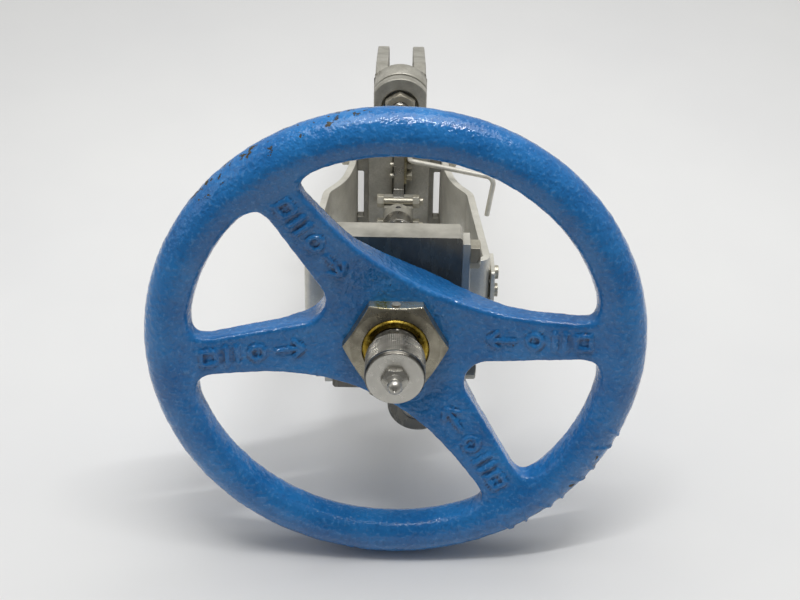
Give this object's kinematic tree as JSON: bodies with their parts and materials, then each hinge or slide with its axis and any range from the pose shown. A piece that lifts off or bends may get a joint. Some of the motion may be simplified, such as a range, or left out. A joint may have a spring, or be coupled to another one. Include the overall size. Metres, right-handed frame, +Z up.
{
  "type": "knife gate valve",
  "caption": "Wafer knife gate valve with a rising stem, bent-plate yoke, position pointer and a blue cast handwheel.",
  "frame": {"origin": "centre of the pipe bore, half way between the two flange faces", "axes": "+X along the pipe bore, the pointer's arm on that side; -Y up the stem towards the handwheel; +Z up with the valve lying on its side"},
  "size_m": [0.2506, 0.3771, 0.2506],
  "materials": {
    "bearing_steel": "ground bearing steel",
    "blue_paint": "glossy enamel over a rough sand casting, chipped along the rim",
    "brass": "turned brass, slightly tarnished",
    "cast_stainless": "bead-blasted investment casting",
    "dark_stainless": "dark, oily machined casting",
    "knurled_stainless": "fine diamond knurl, faced end",
    "machined_stainless": "turned and ground",
    "packing_braid": "square braided packing",
    "seat_rubber": "soft seat, matte",
    "stainless_fastener": "cold-headed hex fasteners, satin",
    "stainless_sheet": "pickled sheet with bright sheared edges",
    "stainless_thread": "rolled and turned thread, lightly greased",
    "zinc_plate": "yellow zinc plating"
  },
  "bodies": {
    "root": {"body": "cast_stainless", "seat_ring": "seat_rubber", "seat_retainer": "machined_stainless", "packing": "packing_braid", "gland": "cast_stainless", "gland_studs": "stainless_thread", "gland_nuts": "stainless_fastener", "left_arm": "stainless_sheet", "right_arm": "stainless_sheet", "arm_bolts": "stainless_fastener", "head_bolts": "stainless_fastener", "yoke_head": "dark_stainless", "bearing_cover": "machined_stainless", "cover_screws": "stainless_fastener", "upper_thrust_bearing": "bearing_steel", "lower_thrust_bearing": "bearing_steel", "locking_lug": "dark_stainless", "lug_screws": "stainless_fastener", "scale_plate": "stainless_sheet", "scale_spacers": "stainless_fastener", "scale_screws": "stainless_fastener"},
    "turning": {"handwheel": "blue_paint", "wheel_key": "bearing_steel", "stem_nut": "brass", "lock_nut": "stainless_fastener", "lock_screw": "dark_stainless"},
    "rising": {"gate": "machined_stainless", "clevis": "cast_stainless", "clevis_bolts": "stainless_fastener", "clevis_nuts": "stainless_fastener", "stem": "stainless_thread", "stem_pin": "bearing_steel", "stem_cap": "knurled_stainless", "grease_nipple": "machined_stainless", "pointer_bracket": "zinc_plate", "pointer": "stainless_sheet", "pointer_screws": "stainless_fastener"}
  },
  "joints": [
    {"name": "handwheel_spin", "type": "hinge", "parent": "root", "child": "turning", "pos_m": [0, -0.275, 0], "axis": [0, -1, 0], "range_deg": [0, 4104]},
    {"name": "gate_slide", "type": "slide", "parent": "root", "child": "rising", "axis": [0, -1, 0], "range_m": [0, 0.057]}
  ],
  "couplings": [
    {"joint": "gate_slide", "follows": "handwheel_spin", "m_per_rad": 0.00079577}
  ]
}
